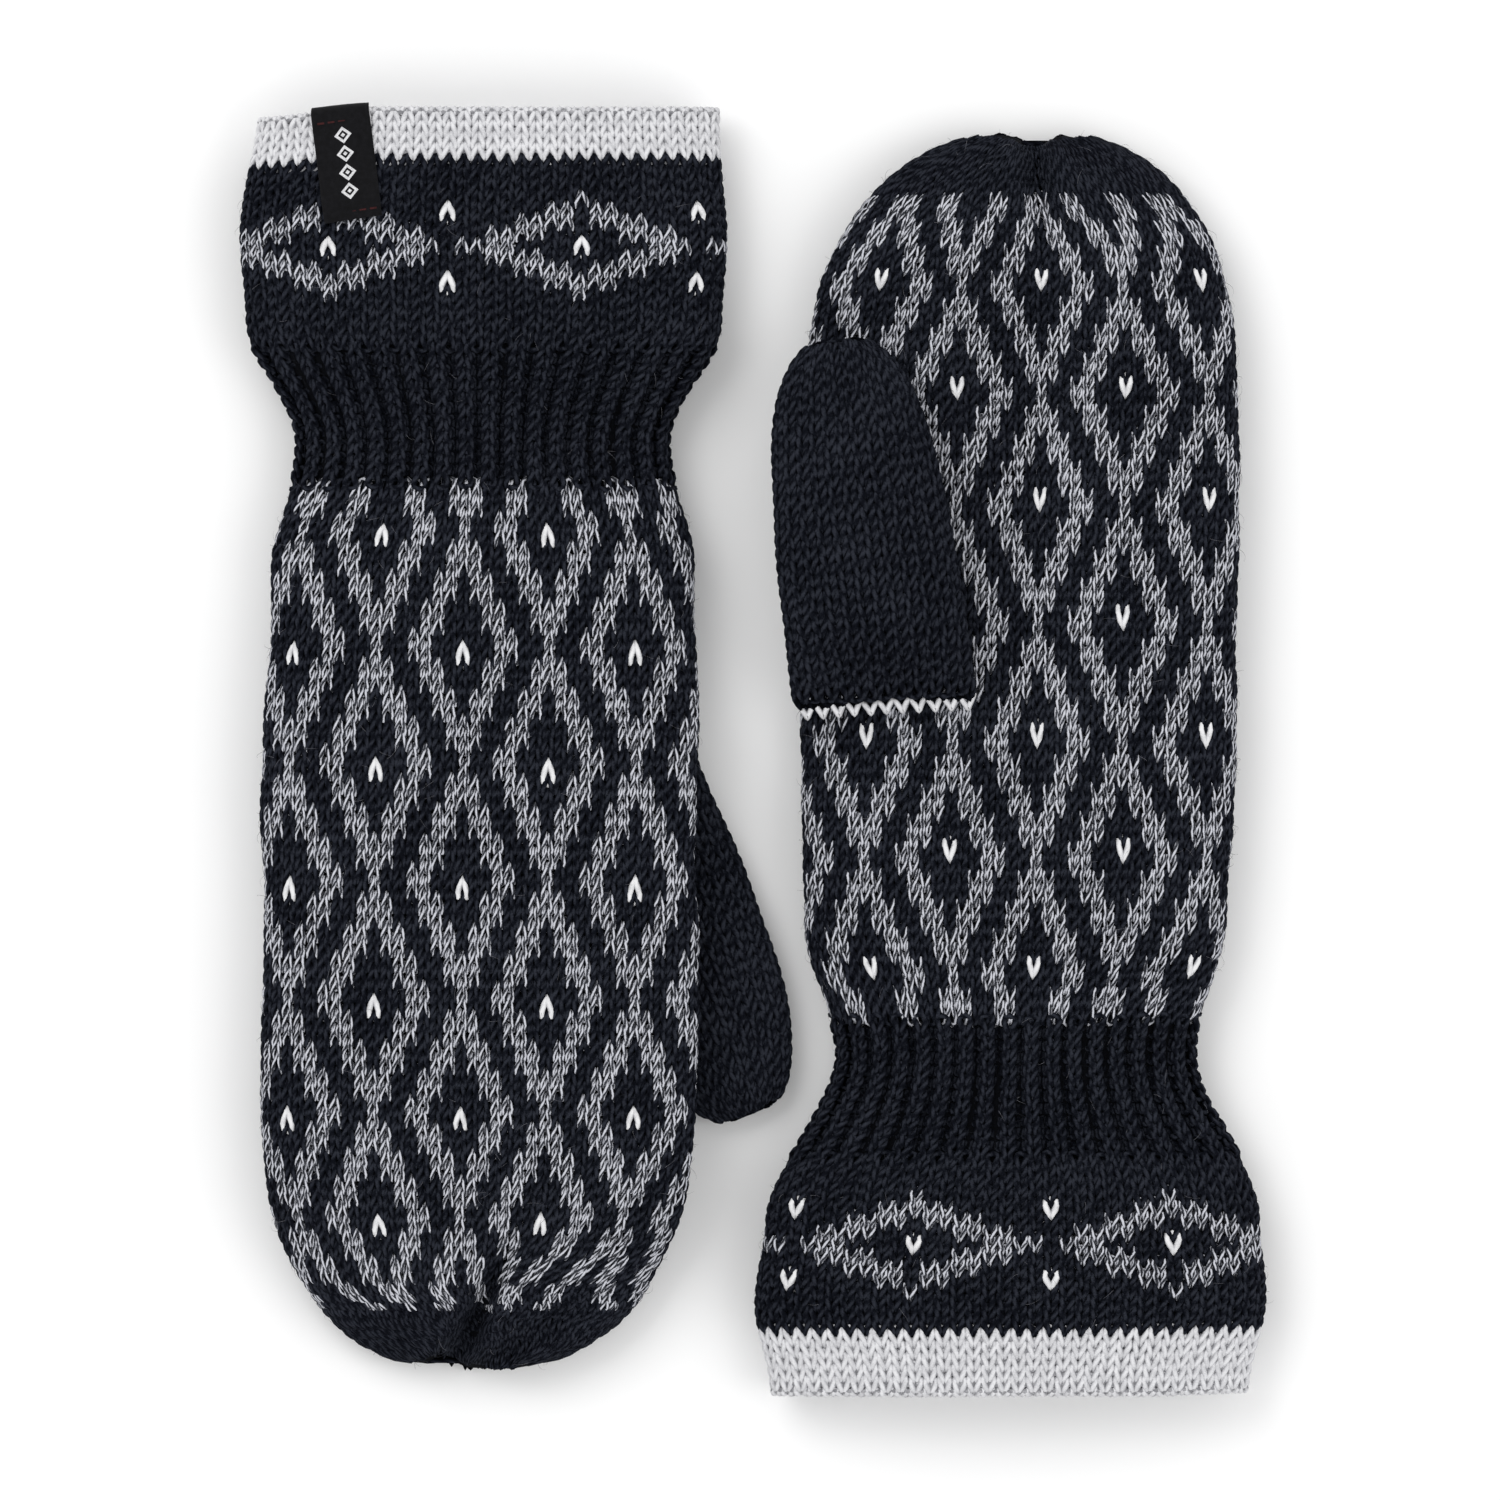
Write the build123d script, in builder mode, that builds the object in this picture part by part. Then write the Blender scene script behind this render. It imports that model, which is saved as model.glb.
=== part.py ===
"""A pair of lined knitted mittens lying flat, side by side: the left one back up, the right one palm up.

Each mitten is described by two distances: s, from the cuff mouth towards the tip, and u, across the
hand, positive towards the thumb. The left mitten's tip points to -Y and the right mitten's to +Y.
Z 0 is the surface that the pair lies on. Lengths are in millimetres and angles in degrees.
"""

import os
from math import copysign, cos, pi, radians, sin

from build123d import *

os.makedirs("parts", exist_ok=True)

# Lengths along a mitten, from the cuff mouth.
LENGTH = 279.0
MOUTH_Y = 141.0
CUFF_END = 52.0
RIB_END = 82.0
SHOULDER = 215.0
STATION_STEP = 8.0
ROUNDING_STATIONS = 14

# The flat cross-section: a rounded, squared-off ellipse that closes to a small flat tip.
SECTION_POINTS = 32
SECTION_POWER = 2.6
CROWN_POWER = 2.35
TIP_END_GAP = 0.8
HALF_THICKNESS = [(0, 9.5), (28, 10.5), (74, 9.0), (120, 11.0)]
TIP_HALF_THICKNESS = 3.2

# Fabric. The lining starts inside the band, and a hair of clearance keeps it off the shell.
SHELL = 2.6
LINING = 2.4
THUMB_SHELL = 2.0
THUMB_LINING = 0.8
LAYER_GAP = 0.12
OVERRUN = 1.0

# The thumb: a flattened tube, closed at its tip, that starts at a row of white yarn across the palm.
THUMB_BASE_U = 29.1
THUMB_BASE_S = 150.0
THUMB_HALF_WIDTH = 20.3
THUMB_ROUNDING = 3.5
THUMB_SIDE_POWER = 2.6
THUMB_TIP_HALF_THICKNESS = 2.5
THUMB_START = 0.3
THUMB_STRAIGHT = 0.4
THUMB_STATION_STEP = 8.0

# The slit in the palm that the hand's cavity and the thumb's cavity share.
SLIT_START = 1.0
SLIT_LENGTH = 8.0
SLIT_WIDTH = 34.0

# The palm gives way where the thumb lies against it, and these ramps bound that patch.
PATCH_ACROSS = (-10.0, 8.0)
PATCH_NEAR = (118.0, 138.0)
PATCH_FAR = (231.0, 256.0)

# Yarn: the row where the thumb starts, and the rings drawn up at the tips.
ROW_LENGTH = 38.8
ROW_DEPTH = 4.3
ROW_THICKNESS = 2.0
YARN_RADIUS = 0.8
GATHER_REACH = 7.0
GATHER_RISE = 2.4
THUMB_GATHER_REACH = 3.2
THUMB_GATHER_RISE = 1.5

# The woven label, folded over the edge of the left cuff, and the thread that holds it.
LABEL_CENTRE_U = -30.4
LABEL_WIDTH = 12.6
LABEL_LENGTH = 24.0
LABEL_LEAN = 7.5
LABEL_GAP = 0.1
LABEL_THICKNESS = 0.6
LABEL_TUCK = 8.0
STITCH_RADIUS = 0.25
STITCH_LENGTH = 1.5
STITCH_COUNT = 5
STITCH_PITCH = 2.3
STITCH_ROWS = (2.2, 22.2)

LEFT = {
    "name": "left",
    "x": -59.3,
    "lean": -0.008,
    "facing": 1,
    "band_end": 10.0,
    "half_widths": [(0, 51.5), (28, 53.8), (46, 52.6), (73, 41.0), (100, 46.8), (145, 48.3)],
    "under_shift": 12.0,
    "over_shift": 5.0,
    "thumb_angle": 23.3,
    "thumb_length": 79.0,
    "thumb_bottom": 0.0,
    "thumb_half_thickness": [(0, 5.6), (25, 5.6)],
    "row_bottom": 9.2,
    "slit_heights": (10.5, 18.8),
    "thumb_slit_heights": (5.6, 12.0),
}
RIGHT = {
    "name": "right",
    "x": 56.1,
    "lean": 0.0129,
    "facing": -1,
    "band_end": 13.2,
    "half_widths": [(0, 53.0), (20, 56.8), (38, 54.8), (74, 39.3), (104, 47.2), (145, 48.2)],
    "under_shift": 0.0,
    "over_shift": -6.2,
    "thumb_angle": 7.8,
    "thumb_length": 84.0,
    "thumb_bottom": 16.4,
    "thumb_half_thickness": [(0, 4.0), (25, 6.3)],
    "row_bottom": 16.2,
    "slit_heights": (8.0, 16.6),
    "thumb_slit_heights": (15.5, 20.0),
}


def smooth(value, low, high):
    """0 below low and 1 above high, with an even ramp between."""
    part = min(max((value - low) / (high - low), 0.0), 1.0)
    return part * part * (3 - 2 * part)


def along(profile, distance):
    """A value read from (distance, value) points, eased from each point to the next."""
    value = profile[0][1]
    for (start, low), (end, high) in zip(profile, profile[1:]):
        value += (high - low) * smooth(distance, start, end)
    return value


def squared_off(value):
    """Turns a sine or cosine into the coordinate of the squared-off ellipse."""
    return copysign(abs(value) ** (2 / SECTION_POWER), value)


def crown(s):
    """1 along the hand, falling to 0 where the fabric is gathered at the tip."""
    part = max(s - SHOULDER, 0) / (LENGTH - SHOULDER)
    return (1 - part**CROWN_POWER) ** (1 / CROWN_POWER)


def place(mitten, u, s):
    """The X and Y of a point given by its distance across and along a mitten."""
    x = mitten["x"] + mitten["lean"] * s + mitten["facing"] * u
    y = mitten["facing"] * (MOUTH_Y - s)
    return x, y


def thumb_patch(u, s):
    """1 where the thumb lies against the palm, 0 away from it."""
    near = smooth(s, *PATCH_NEAR)
    far = 1 - smooth(s, *PATCH_FAR)
    return smooth(u, *PATCH_ACROSS) * near * far


def heights(mitten, u, s):
    """The middle height and the half thickness of a mitten at a point of its plan."""
    flat = TIP_HALF_THICKNESS + (along(HALF_THICKNESS, s) - TIP_HALF_THICKNESS) * crown(s)
    patch = thumb_patch(u, s)
    under = mitten["under_shift"] * patch
    over = 2 * flat + mitten["over_shift"] * patch
    return (over + under) / 2, (over - under) / 2


def outline(mitten, s, inset):
    """Points round the cross-section at s, moved inwards by inset, from the edge away from the thumb."""
    half_width = along(mitten["half_widths"], s) * crown(s) - inset
    points = []
    for step in range(SECTION_POINTS):
        turn = pi + 2 * pi * step / SECTION_POINTS
        u = half_width * squared_off(cos(turn))
        middle, half = heights(mitten, u, s)
        x, _ = place(mitten, u, s)
        points.append((x, middle + (half - inset) * squared_off(sin(turn))))
    return points


def top_point(mitten, u, s, clearance):
    """A point above the upper surface of a mitten's cuff or hand."""
    half_width = along(mitten["half_widths"], s)
    middle, half = heights(mitten, u, s)
    rise = (1 - abs(u / half_width) ** SECTION_POWER) ** (1 / SECTION_POWER)
    x, y = place(mitten, u, s)
    return Vector(x, y, middle + half * rise + clearance)


def stations(start, end, rounding_start, full_length, step):
    """Distances from start to end: a step apart at first, then closing up towards the rounded tip.

    All the layers of a tube share the distances in between, so they nest without touching.
    """
    straight = [step * index for index in range(round(rounding_start / step))]
    rounded = []
    for index in range(ROUNDING_STATIONS):
        reach = sin(pi / 2 * index / ROUNDING_STATIONS)
        rounded.append(rounding_start + (full_length - rounding_start) * reach)
    between = [value for value in straight + rounded if start < value < end]
    return [start] + between + [end]


def hand_sections(mitten, start, end, inset):
    """Sketches across a mitten from start to end, ready to loft."""
    sections = []
    for s in stations(start, end, SHOULDER, LENGTH, STATION_STEP):
        _, y = place(mitten, 0, s)
        with BuildSketch(Plane.XZ.offset(-y)) as section:
            with BuildLine():
                Spline(*outline(mitten, s, inset), periodic=True)
            make_face()
        sections.append(section.sketch)
    return sections


def thumb_directions(mitten):
    """Unit vectors across the thumb and out along it, in the plan of the pair."""
    angle = radians(mitten["thumb_angle"])
    facing = mitten["facing"]
    across = Vector(facing * cos(angle), facing * sin(angle), 0)
    outwards = Vector(facing * sin(angle), -facing * cos(angle), 0)
    return across, outwards


def thumb_point(mitten, out, height):
    """A point on the thumb's centre line, at a distance out from its base row."""
    _, outwards = thumb_directions(mitten)
    x, y = place(mitten, THUMB_BASE_U, THUMB_BASE_S)
    return Vector(x, y, height) + outwards * out


def level_plane(mitten, out, height):
    """The level plane at a distance out from the base row, with local X across the thumb."""
    across, _ = thumb_directions(mitten)
    return Plane(origin=thumb_point(mitten, out, height), x_dir=across, z_dir=(0, 0, 1))


def cross_plane(mitten, out, height):
    """The plane across the thumb at a distance out from the base row, with local Y up."""
    across, outwards = thumb_directions(mitten)
    return Plane(origin=thumb_point(mitten, out, height), x_dir=across, z_dir=outwards)


def thumb_outline(mitten, out, inset):
    """Points round the thumb's cross-section, above its underside, moved inwards by inset."""
    part = out / mitten["thumb_length"]
    closing = (1 - part**THUMB_ROUNDING) ** (1 / THUMB_SIDE_POWER)
    half_width = THUMB_HALF_WIDTH * closing - inset
    full = along(mitten["thumb_half_thickness"], out)
    half = THUMB_TIP_HALF_THICKNESS + (full - THUMB_TIP_HALF_THICKNESS) * closing
    points = []
    for step in range(SECTION_POINTS):
        turn = 2 * pi * step / SECTION_POINTS
        across = half_width * squared_off(cos(turn))
        points.append((across, half + (half - inset) * squared_off(sin(turn))))
    return points


def thumb_sections(mitten, start, end, inset):
    """Sketches across the thumb from start to end, ready to loft."""
    sections = []
    length = mitten["thumb_length"]
    for out in stations(start, end, length * THUMB_STRAIGHT, length, THUMB_STATION_STEP):
        with BuildSketch(cross_plane(mitten, out, mitten["thumb_bottom"])) as section:
            with BuildLine():
                Spline(*thumb_outline(mitten, out, inset), periodic=True)
            make_face()
        sections.append(section.sketch)
    return sections


def knit_zone(mitten, start, end):
    """A stretch of the outer fabric, open at both ends."""
    with BuildPart() as zone:
        loft(hand_sections(mitten, start, end, 0), ruled=True)
        hollow = hand_sections(mitten, start - OVERRUN, end + OVERRUN, SHELL)
        loft(hollow, ruled=True, mode=Mode.SUBTRACT)
    return zone.part


def hand_layer(mitten, start, outer, thickness):
    """A layer of the hand: open towards the cuff, closed at the tip, slit where the thumb starts."""
    tip = LENGTH - TIP_END_GAP - outer
    low, high = mitten["slit_heights"]
    with BuildPart() as layer:
        loft(hand_sections(mitten, start, tip, outer), ruled=True)
        hollow = hand_sections(mitten, start - OVERRUN, tip - thickness, outer + thickness)
        loft(hollow, ruled=True, mode=Mode.SUBTRACT)
        with BuildSketch(level_plane(mitten, SLIT_START + SLIT_LENGTH / 2, low)):
            Rectangle(SLIT_WIDTH, SLIT_LENGTH)
        extrude(amount=high - low, mode=Mode.SUBTRACT)
    return layer.part


def thumb_layer(mitten, outer, thickness):
    """A layer of the thumb: closed at its tip, open at its base and towards the palm's slit."""
    tip = mitten["thumb_length"] - TIP_END_GAP - outer
    low, high = mitten["thumb_slit_heights"]
    with BuildPart() as layer:
        loft(thumb_sections(mitten, THUMB_START, tip, outer), ruled=True)
        hollow = thumb_sections(mitten, 0, tip - thickness, outer + thickness)
        loft(hollow, ruled=True, mode=Mode.SUBTRACT)
        with BuildSketch(level_plane(mitten, SLIT_LENGTH / 2, low)):
            Rectangle(SLIT_WIDTH, SLIT_LENGTH + 2 * SLIT_START)
        extrude(amount=high - low, mode=Mode.SUBTRACT)
    return layer.part


def join_row(mitten):
    """The row of white stitches across the palm where the thumb starts."""
    across, outwards = thumb_directions(mitten)
    centre = thumb_point(mitten, -ROW_DEPTH / 2, mitten["row_bottom"] + ROW_THICKNESS / 2)
    with BuildPart() as row:
        with BuildSketch(Plane(origin=centre, x_dir=outwards, z_dir=across)):
            SlotOverall(ROW_DEPTH, ROW_THICKNESS)
        extrude(amount=ROW_LENGTH / 2, both=True)
    return row.part


def yarn_ring(plane, reach, rise):
    """A flat loop of yarn drawn tight on a tip's end face."""
    with BuildPart() as ring:
        with BuildLine(plane) as path:
            EllipticalCenterArc((0, 0), reach, rise, start_angle=0, arc_size=360)
        with BuildSketch(Plane(origin=path.line @ 0, z_dir=path.line % 0)):
            Circle(YARN_RADIUS)
        sweep(path=path.line)
    return ring.part


def tip_gather(mitten):
    """The yarn that draws the hand's tip together."""
    s = LENGTH - TIP_END_GAP + YARN_RADIUS
    x, y = place(mitten, 0, s)
    height = TIP_HALF_THICKNESS + YARN_RADIUS
    plane = Plane(origin=(x, y, height), x_dir=(1, 0, 0), z_dir=(0, 1, 0))
    return yarn_ring(plane, GATHER_REACH, GATHER_RISE)


def thumb_tip_gather(mitten):
    """The yarn that draws the thumb's tip together."""
    out = mitten["thumb_length"] - TIP_END_GAP + YARN_RADIUS
    height = mitten["thumb_bottom"] + THUMB_TIP_HALF_THICKNESS + YARN_RADIUS
    return yarn_ring(cross_plane(mitten, out, height), THUMB_GATHER_REACH, THUMB_GATHER_RISE)


def label_core(mitten, end):
    """The band's wall with a hair of clearance, which the label wraps round."""
    with BuildPart() as core:
        loft(hand_sections(mitten, -LABEL_GAP, end, -LABEL_GAP), ruled=True)
        hollow = hand_sections(mitten, -OVERRUN, end + OVERRUN, SHELL + LABEL_GAP)
        loft(hollow, ruled=True, mode=Mode.SUBTRACT)
    return core.part


def woven_label(mitten):
    """The label: over the outside of the band, round its edge and a little way back inside."""
    outset = LABEL_GAP + LABEL_THICKNESS
    end = LABEL_LENGTH + 2 * OVERRUN
    x, y = place(mitten, LABEL_CENTRE_U, LABEL_LENGTH / 2)
    lean = radians(LABEL_LEAN)
    middle = HALF_THICKNESS[0][1]
    with BuildPart() as label:
        loft(hand_sections(mitten, -outset, end, -outset), ruled=True)
        hollow = hand_sections(mitten, -outset - OVERRUN, end + OVERRUN, SHELL + outset)
        loft(hollow, ruled=True, mode=Mode.SUBTRACT)
        past_tuck = hand_sections(mitten, LABEL_TUCK, end + OVERRUN, SHELL + LABEL_GAP)
        loft(past_tuck, ruled=True, mode=Mode.SUBTRACT)
        add(label_core(mitten, end), mode=Mode.SUBTRACT)
        with BuildSketch(Plane(origin=(x, y, middle), x_dir=(cos(lean), sin(lean), 0), z_dir=(0, 0, 1))):
            Rectangle(LABEL_WIDTH, LABEL_LENGTH + 2 * OVERRUN)
        extrude(amount=LABEL_LENGTH, mode=Mode.INTERSECT)
    return label.part


def label_thread(mitten):
    """Two rows of short stitches that hold the label to the cuff."""
    lean = radians(LABEL_LEAN)
    clearance = LABEL_GAP + LABEL_THICKNESS + STITCH_RADIUS + LAYER_GAP
    with BuildPart() as thread:
        for row in STITCH_ROWS:
            down = row - LABEL_LENGTH / 2
            for index in range(STITCH_COUNT):
                offset = (index - (STITCH_COUNT - 1) / 2) * STITCH_PITCH
                ends = []
                for across in (offset - STITCH_LENGTH / 2, offset + STITCH_LENGTH / 2):
                    u = LABEL_CENTRE_U + across * cos(lean) + down * sin(lean)
                    s = LABEL_LENGTH / 2 + down * cos(lean) - across * sin(lean)
                    ends.append(top_point(mitten, u, s, clearance))
                with BuildSketch(Plane(origin=ends[0], z_dir=ends[1] - ends[0])):
                    Circle(STITCH_RADIUS)
                extrude(amount=STITCH_LENGTH)
    return thread.part


def save(part, name):
    """Labels a finished piece and writes its STEP file."""
    part.label = name
    export_step(part, f"parts/{name}.step")


for mitten in (LEFT, RIGHT):
    side = mitten["name"]
    save(knit_zone(mitten, 0, mitten["band_end"]), f"{side}_cuff_band")
    save(knit_zone(mitten, mitten["band_end"], CUFF_END), f"{side}_cuff")
    save(knit_zone(mitten, CUFF_END, RIB_END), f"{side}_wrist_rib")
    save(hand_layer(mitten, RIB_END, 0, SHELL), f"{side}_hand_shell")
    save(hand_layer(mitten, mitten["band_end"], SHELL + LAYER_GAP, LINING), f"{side}_hand_lining")
    save(tip_gather(mitten), f"{side}_tip_gather")
    save(thumb_layer(mitten, 0, THUMB_SHELL), f"{side}_thumb_shell")
    save(thumb_layer(mitten, THUMB_SHELL + LAYER_GAP, THUMB_LINING), f"{side}_thumb_lining")
    save(join_row(mitten), f"{side}_thumb_join_row")
    save(thumb_tip_gather(mitten), f"{side}_thumb_tip_gather")

save(woven_label(LEFT), "label")
save(label_thread(LEFT), "label_stitches")
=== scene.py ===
"""The pair of knitted mittens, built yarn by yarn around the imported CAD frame.

Each mitten is described as in the CAD model: s is the distance from the cuff mouth towards the tip, and u the
distance across the hand, positive towards the thumb. Its outer surface is a skin, read by s and by the share
of the way round, where 0.5 is the middle of the face that lies up. The yarn of every course follows the loops
of stockinette stitch over that skin. Lengths are in millimetres until a mesh is written.
"""

import math

import bpy
import numpy as np
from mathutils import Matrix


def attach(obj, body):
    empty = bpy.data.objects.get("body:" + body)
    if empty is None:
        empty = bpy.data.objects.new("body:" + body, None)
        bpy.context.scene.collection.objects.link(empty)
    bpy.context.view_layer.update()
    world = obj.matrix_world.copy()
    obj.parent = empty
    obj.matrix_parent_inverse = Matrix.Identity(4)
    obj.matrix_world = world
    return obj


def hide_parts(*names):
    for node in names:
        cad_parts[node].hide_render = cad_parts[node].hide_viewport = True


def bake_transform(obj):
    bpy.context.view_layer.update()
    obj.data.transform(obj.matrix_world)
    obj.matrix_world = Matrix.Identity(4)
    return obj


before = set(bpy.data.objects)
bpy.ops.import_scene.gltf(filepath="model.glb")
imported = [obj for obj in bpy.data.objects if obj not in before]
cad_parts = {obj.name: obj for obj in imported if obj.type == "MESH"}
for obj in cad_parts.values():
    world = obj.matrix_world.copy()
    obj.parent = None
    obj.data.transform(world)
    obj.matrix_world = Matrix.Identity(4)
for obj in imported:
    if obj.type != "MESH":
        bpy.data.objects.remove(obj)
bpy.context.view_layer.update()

MM = 0.001
SEED = 11

# The mittens' form, as in the CAD model.
LENGTH = 279.0
MOUTH_Y = 141.0
CUFF_END = 52.0
RIB_END = 82.0
SHOULDER = 215.0
SECTION_POWER = 2.6
CROWN_POWER = 2.35
HALF_THICKNESS = [(0, 9.5), (28, 10.5), (74, 9.0), (120, 11.0)]
TIP_HALF_THICKNESS = 3.2
PATCH_ACROSS = (-10.0, 8.0)
PATCH_NEAR = (118.0, 138.0)
PATCH_FAR = (231.0, 256.0)
THUMB_BASE_U = 29.1
THUMB_BASE_S = 150.0
THUMB_HALF_WIDTH = 20.3
THUMB_ROUNDING = 3.5
THUMB_TIP_HALF_THICKNESS = 2.5
ROW_LENGTH = 38.8
LABEL_CENTRE_U = -30.4
LABEL_WIDTH = 12.6
LABEL_LENGTH = 24.0
LABEL_LEAN = 7.5

# Folds start at the mitten's gather. Each is its far end in plan, as (u, s), its depth and its width.
LEFT = {
    "name": "left",
    "x": -59.3,
    "lean": -0.008,
    "facing": 1,
    "band_end": 10.0,
    "half_widths": [(0, 51.5), (28, 53.8), (46, 52.6), (73, 41.0), (100, 46.8), (145, 48.3)],
    "under_shift": 12.0,
    "over_shift": 5.0,
    "thumb_angle": 23.3,
    "thumb_length": 79.0,
    "thumb_bottom": 0.0,
    "thumb_hang": 1.0,
    "thumb_half_thickness": [(0, 5.6), (25, 5.6)],
    "row_bottom": 9.2,
    "row_rise": 1.2,
    "row_centre": -2.15,
    "row_slope": 0.0,
    "row_body": "left_thumb",
    "first_dot_wale": 43,
    "eye_course": 7,
    "corner_drop": 2.0,
    "gather_u": -7.6,
    "folds": [((11, 242), 7.0, 2.1), ((33, 259), 3.6, 2.4), ((-34, 262), 1.4, 3.0)],
}
RIGHT = {
    "name": "right",
    "x": 56.1,
    "lean": 0.0129,
    "facing": -1,
    "band_end": 13.2,
    "half_widths": [(0, 53.0), (20, 56.8), (38, 54.8), (74, 39.3), (104, 47.2), (145, 48.2)],
    "under_shift": 0.0,
    "over_shift": -6.2,
    "thumb_angle": 7.8,
    "thumb_length": 84.0,
    "thumb_bottom": 16.4,
    "thumb_hang": 0.0,
    "thumb_half_thickness": [(0, 4.0), (25, 6.3)],
    "row_bottom": 16.2,
    "row_rise": 2.6,
    "row_centre": 1.2,
    "row_slope": 0.079,
    "row_body": "right_mitten",
    "first_dot_wale": 36,
    "eye_course": 7,
    "corner_drop": 0.6,
    "gather_u": -2.1,
    "folds": [((-4, 246), 4.6, 2.4), ((30, 262), 1.5, 3.0), ((-33, 261), 1.7, 2.8)],
}

# Shaping beyond the CAD model. A run is the start and the end of a ramp along the mitten or the thumb.
SKIN_STEP = 1.5
NOTCH_DEPTH = 2.4
NOTCH_WIDTH = 3.6
NOTCH_RUN = (262.0, 279.0)
CORNER_RUN = (0.0, 40.0)
CORNER_ACROSS = (24.0, 52.0)
FOLD_START = 282
FOLD_FULL_SHARE = 0.35
FOLD_SLACK = 0.16
SLACK_OFFSET = 2.2
DEEPEST_FOLD = 0.45
WAIST = 67.0
WAIST_WIDTH = 26.0
FLUTES = 11
FLUTE_HEIGHT = 0.3
LUMP_HEIGHT = 0.35
CREASE_HEIGHT = 0.16
TIP_RUN = (246.0, 277.0)
HAND_PLEATS = 15
THUMB_PLEATS = 7
PLEAT_DEPTH = 0.45
THUMB_LUMP_HEIGHT = 0.25
THUMB_PLEAT_RUN = 16
THUMB_BASE_SHARE = 0.45
THUMB_BASE_RUN = (-2.0, 13.0)
HAND_CLOSING = 29.0
THUMB_CLOSING = 20
ROW_SLOPE_END = 30.0
BEND_LENGTH = 9.0

# Knitting. A gauge gives the stitches round, the yarn's radius and the height of a course.
RINGS_PER_STITCH = 12
YARN_SIDES = 6
BAND = {"wales": 70, "radius": 0.66, "course": 2.5}
CUFF = {"wales": 70, "radius": 0.72, "course": 2.6}
RIB = {"wales": 72, "radius": 0.70, "course": 2.73}
HAND = {"wales": 76, "radius": 0.66, "course": 3.25}
CROWN_COURSE = 2.97
THUMB = {"wales": 26, "radius": 0.80, "course": 2.9}
ROW = {"wales": 11, "radius": 0.62, "reach": 1.7, "swing": 0.06, "jitter": 0.12, "tilt": 0.8, "crest": 0.2}
THUMB_FIRST_COURSE = 1.9
THUMB_END_MARGIN = 1.2
TYPICAL_STITCH = (2.75, 3.25)
LOOP_REACH = 0.9
LOOP_SWING = 0.27
LOOP_DEPTH = 0.5
LOOP_TILT = 0.25
YARN_FLATNESS = 0.88
FABRIC_DEPTH = 1.15
THUMB_FABRIC_DEPTH = 1.2
STITCH_JITTER = 0.05
FREE_PITCH = 3.6
SQUEEZE_POWER = 0.75
DOT_GROWTH = 0.06
RIB_DEPTH = 1.5
RIB_BIAS = 0.3
RIB_PULL = 0.13
PURL_RELIEF = -0.4
BAND_TURNED_IN = 6
PATTERN_END = 265.0
TIP_OPENING = 3.0
END_MARGIN = 1.3

# How thick each colour of yarn is beside the navy, and how far its stitches stand proud: navy, marl, dots.
GIRTHS = np.array([1.0, 0.74, 1.0])
PROUD = np.array([0.0, 0.05, 0.25])

# The pattern's repeats, in wales and courses. The hand has diamonds, and the cuff has a round of eyes.
DIAMOND_WALES = 14
DIAMOND_COURSES = 8
DIAMOND_OUTLINE = (5.5, 8.5)
FIRST_DOT_COURSE = 3
EYE_WALES = 17
EYE_WALE = 41
EYE_HALF_LENGTH = 6
EYE_HALF_HEIGHT = 3

# Layers under the yarn, as depths below the skin.
BAND_FACING = (2.0, 2.3)
FLOATS = (2.45, 2.75)
LINING = (2.95, 5.1)
THUMB_FLOATS = (2.05, 2.25)
THUMB_LINING = (2.3, 2.95)
THINNEST = 0.3
LAYER_STEP = 3.0
TIP_INSET = 0.5
END_COVER = 0.45
THUMB_LAYER_START = 7.0
THUMB_LAYER_GAP = 2.0

# The yarns that draw the tips together: the loop's half width and half height, and the yarn's radius. They
# are sunk in the tips, and their middles lie a little over the tips' own.
HAND_GATHER = (3.2, 2.0, 0.75)
HAND_GATHER_SUNK = NOTCH_DEPTH + 1.2
HAND_GATHER_LIFT = 0.8
THUMB_GATHER = (2.6, 1.2, 0.7)
THUMB_GATHER_SUNK = 2.2
THUMB_GATHER_LIFT = 0.4

# The label's run over the band's edge, and how far its two faces stand over the knitting.
ROLL_RADIUS = 1.3
LABEL_INSIDE = 8.0
LABEL_HEIGHTS = (0.2, 0.55)
LABEL_WAVE_HEIGHT = 0.1
LABEL_WAVE_LENGTH = 3.1
LABEL_BULGE_HEIGHT = 1.2
LABEL_BULGE_PLACE = 4.0
LABEL_BULGE_WIDTH = 3.2

# The label's woven diamonds and threads, in centimetres.
MOTIFS = 4
MOTIF_PITCH = 0.42
MOTIF_OUTER = 0.19
MOTIF_INNER = 0.11
MOTIF_CENTRE = 0.05
WARP_PITCH = 0.028
WEFT_PITCH = 0.034

# Loose fibres.
FIBRE_RUN = (13.0, 277.0)
FIBRE_RADIUS = 0.04

# The studio, in metres and watts.
CAMERA_PLACE = (-0.0012, 0.0004, 3.0)
FRAMED_HEIGHT = 0.011
FRAMED_WIDTH = 0.3307
LIGHT_SIZE = 1.2
WORLD_STRENGTH = 0.85

rng = np.random.default_rng(SEED)


def smooth(value, low, high):
    """0 below low and 1 above high, with an even ramp between."""
    part = np.clip((value - low) / (high - low), 0.0, 1.0)
    return part * part * (3 - 2 * part)


def along(profile, distance):
    """A value read from (distance, value) points, eased from each point to the next."""
    value = profile[0][1]
    for (start, low), (end, high) in zip(profile, profile[1:]):
        value = value + (high - low) * smooth(distance, start, end)
    return value


def bell(value, middle, width):
    """1 at the middle, with a smooth fall to about a third at a width from it."""
    return np.exp(-(((value - middle) / width) ** 2))


def squared_off(value):
    """Turns a sine or cosine into the coordinate of the squared-off ellipse."""
    return np.copysign(np.abs(value) ** (2 / SECTION_POWER), value)


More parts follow.
